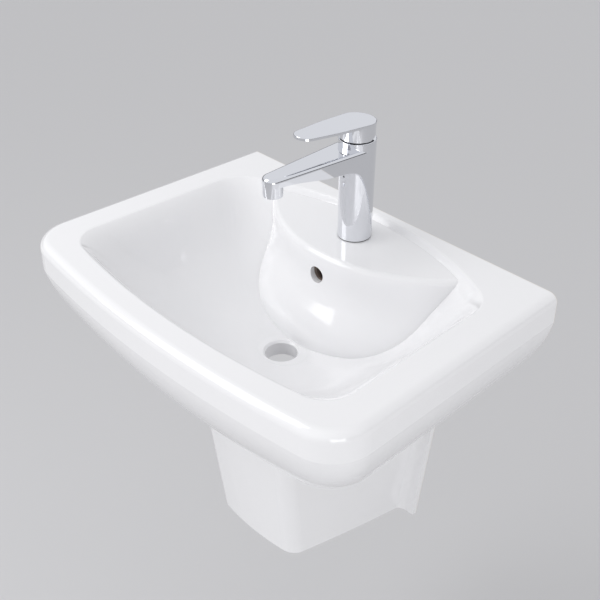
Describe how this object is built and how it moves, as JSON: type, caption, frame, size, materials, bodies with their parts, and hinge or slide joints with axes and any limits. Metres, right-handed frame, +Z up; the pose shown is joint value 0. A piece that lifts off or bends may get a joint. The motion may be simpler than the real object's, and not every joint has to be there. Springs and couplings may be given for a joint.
{
  "type": "pedestal sink",
  "caption": "Wall-hung wash basin on a half pedestal, with a chrome single-lever mixer tap whose lever lifts and turns a working disc cartridge.",
  "frame": {"origin": "midway between the two wall bolt holes of the basin, on the wall face", "axes": "+X to the user's right, +Y into the wall, +Z up"},
  "size_m": [0.6226, 0.44, 0.7184],
  "materials": {
    "white_ceramic": "glazed vitreous china, white, opaque, glossy",
    "chrome": "mirror-bright chrome plate",
    "brass": "machined",
    "steel": "zinc-plated",
    "black_rubber": "moulded",
    "cartridge_plastic": "moulded",
    "disc_ceramic": "lapped alumina ceramic, opaque",
    "index_plastic": "moulded, plated",
    "aerator_plastic": "moulded"
  },
  "bodies": {
    "fixture": {"basin": "white_ceramic", "half_pedestal": "white_ceramic", "tap_body": "chrome", "tap_base_gasket": "black_rubber", "tap_stud": "steel", "rubber_washer": "black_rubber", "horseshoe_plate": "steel", "stud_nut": "steel", "cartridge_base": "cartridge_plastic", "inlet_seals": "black_rubber", "fixed_disc": "disc_ceramic", "cartridge_body": "cartridge_plastic", "guide_seal": "black_rubber", "cartridge_nut": "brass", "cartridge_dome": "chrome", "aerator_housing": "chrome", "aerator_insert": "aerator_plastic", "aerator_seal": "black_rubber"},
    "turn_guide": {"cartridge_guide": "cartridge_plastic", "pivot_pin": "steel"},
    "lever": {"lever": "chrome", "cartridge_stem": "steel", "lever_grub_screw": "steel", "lever_index_plug": "index_plastic"},
    "disc_slide": {"disc_carrier": "cartridge_plastic", "moving_disc": "disc_ceramic"}
  },
  "joints": [
    {"name": "lever_turn", "type": "hinge", "parent": "fixture", "child": "turn_guide", "pos_m": [0, -0.069, 0.2165], "axis": [0, 0, 1], "range_deg": [-50, 50]},
    {"name": "lever_lift", "type": "hinge", "parent": "turn_guide", "child": "lever", "pos_m": [0, -0.069, 0.2165], "axis": [-1, 0, 0], "range_deg": [0, 18]},
    {"name": "disc_move", "type": "slide", "parent": "turn_guide", "child": "disc_slide", "axis": [0, -1, 0], "range_m": [0, 0.00402]}
  ],
  "couplings": [
    {"joint": "disc_move", "follows": "lever_lift", "m_per_rad": 0.012787}
  ]
}
